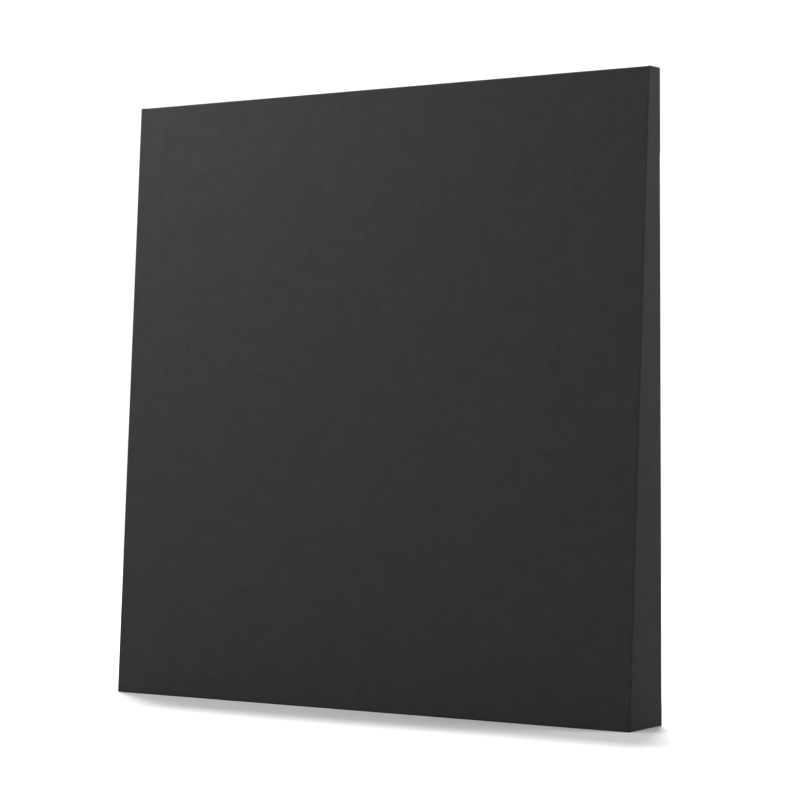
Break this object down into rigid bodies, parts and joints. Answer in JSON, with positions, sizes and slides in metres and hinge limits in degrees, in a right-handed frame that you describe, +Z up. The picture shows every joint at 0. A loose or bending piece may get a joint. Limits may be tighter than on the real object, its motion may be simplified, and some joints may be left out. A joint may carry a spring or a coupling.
{
  "type": "acoustic panel",
  "caption": "Square fabric-wrapped sound absorber on a wedge-shaped timber frame, deep at the foot and slim at the head, with a two-part hanging cleat and felt pads on its back.",
  "frame": {"origin": "bottom centre of the bounding box, under the panel's middle", "axes": "+Z up along the panel's height, +X to the right seen from the front, -Y out of the sloping front towards the room and +Y towards the wall"},
  "size_m": [0.6, 0.0629, 0.6],
  "materials": {
    "charcoal_fabric": "fine plain weave, matt",
    "fleece": "matt fleece",
    "mineral_wool": "pressed fibre board",
    "pine": "planed softwood",
    "plywood": "sanded plywood",
    "zinc_steel": "bright zinc plate",
    "mill_aluminium": "mill finish, drawn",
    "felt": "pressed felt",
    "nonwoven": "spun-bond sheet"
  },
  "bodies": {
    "panel": {"fabric_cover": "charcoal_fabric", "front_fleece": "fleece", "absorber_core": "mineral_wool", "left_stile": "pine", "right_stile": "pine", "top_rail": "pine", "bottom_rail": "pine", "gusset_bottom_left": "plywood", "gusset_bottom_right": "plywood", "gusset_top_left": "plywood", "gusset_top_right": "plywood", "frame_screw_left_foot_front": "zinc_steel", "frame_screw_left_foot_back": "zinc_steel", "frame_screw_left_head_lower": "zinc_steel", "frame_screw_left_head_upper": "zinc_steel", "frame_screw_right_foot_front": "zinc_steel", "frame_screw_right_foot_back": "zinc_steel", "frame_screw_right_head_lower": "zinc_steel", "frame_screw_right_head_upper": "zinc_steel", "dust_cover": "nonwoven", "wall_pad_bottom_left": "felt", "wall_pad_bottom_right": "felt", "wall_pad_top_left": "felt", "wall_pad_top_right": "felt", "panel_cleat": "mill_aluminium", "cleat_screw_1": "zinc_steel", "cleat_screw_2": "zinc_steel", "cleat_screw_3": "zinc_steel", "cleat_screw_4": "zinc_steel"},
    "wall_half": {"wall_cleat": "mill_aluminium"}
  },
  "joints": [
    {"name": "lift_off", "type": "slide", "parent": "panel", "child": "wall_half", "axis": [0, 0.7071, -0.7071], "range_m": [0, 0.03]}
  ]
}
